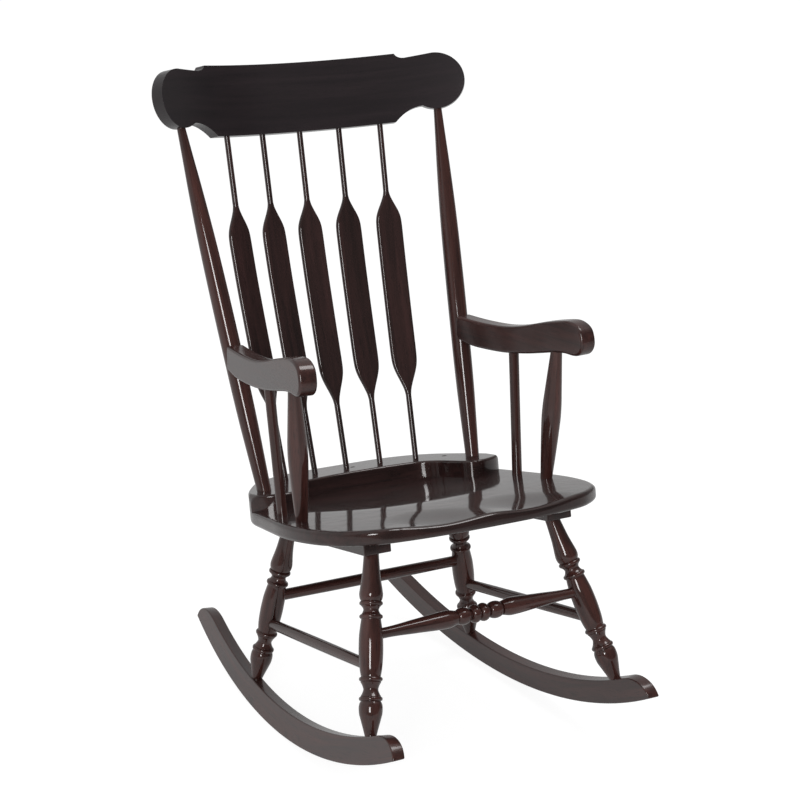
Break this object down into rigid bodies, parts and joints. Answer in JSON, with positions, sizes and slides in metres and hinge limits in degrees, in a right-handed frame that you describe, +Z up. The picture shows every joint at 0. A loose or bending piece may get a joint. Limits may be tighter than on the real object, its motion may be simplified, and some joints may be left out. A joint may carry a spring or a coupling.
{
  "type": "rocking chair",
  "caption": "Wooden rocking chair with bent runners, splayed turned legs, a saddled seat, arrow slats, scrolled arms and a bent crest rail.",
  "frame": {"origin": "on the floor, in the middle of the chair's bounding box", "axes": "+Z up, -Y the way the sitter faces, +X the sitter's left, so X = 0 is the plane that the two sides mirror across"},
  "size_m": [0.6302, 0.8704, 1.0999],
  "materials": {
    "dark_wood": "espresso stain under gloss lacquer",
    "crest_wood": "near-black stain under gloss lacquer",
    "screw_steel": "dull zinc-plated steel"
  },
  "bodies": {
    "root": {"arm_left": "dark_wood", "arm_post_left": "dark_wood", "arm_post_right": "dark_wood", "arm_right": "dark_wood", "arm_screw_left": "screw_steel", "arm_screw_right": "screw_steel", "arm_spindle_left": "dark_wood", "arm_spindle_right": "dark_wood", "back_post_left": "dark_wood", "back_post_right": "dark_wood", "back_rail": "dark_wood", "cleat_left": "dark_wood", "cleat_right": "dark_wood", "cleat_screw_left_1": "screw_steel", "cleat_screw_left_2": "screw_steel", "cleat_screw_right_1": "screw_steel", "cleat_screw_right_2": "screw_steel", "crest_rail": "crest_wood", "leg_front_left": "dark_wood", "leg_front_right": "dark_wood", "leg_rear_left": "dark_wood", "leg_rear_right": "dark_wood", "rail_screw_1": "screw_steel", "rail_screw_2": "screw_steel", "rail_screw_3": "screw_steel", "runner_left": "dark_wood", "runner_right": "dark_wood", "runner_screw_front_left": "screw_steel", "runner_screw_front_right": "screw_steel", "runner_screw_rear_left": "screw_steel", "runner_screw_rear_right": "screw_steel", "seat": "dark_wood", "slat_1": "dark_wood", "slat_2": "dark_wood", "slat_3": "dark_wood", "slat_4": "dark_wood", "slat_5": "dark_wood", "stretcher_front": "dark_wood", "stretcher_left": "dark_wood", "stretcher_rear": "dark_wood", "stretcher_right": "dark_wood"}
  },
  "joints": []
}
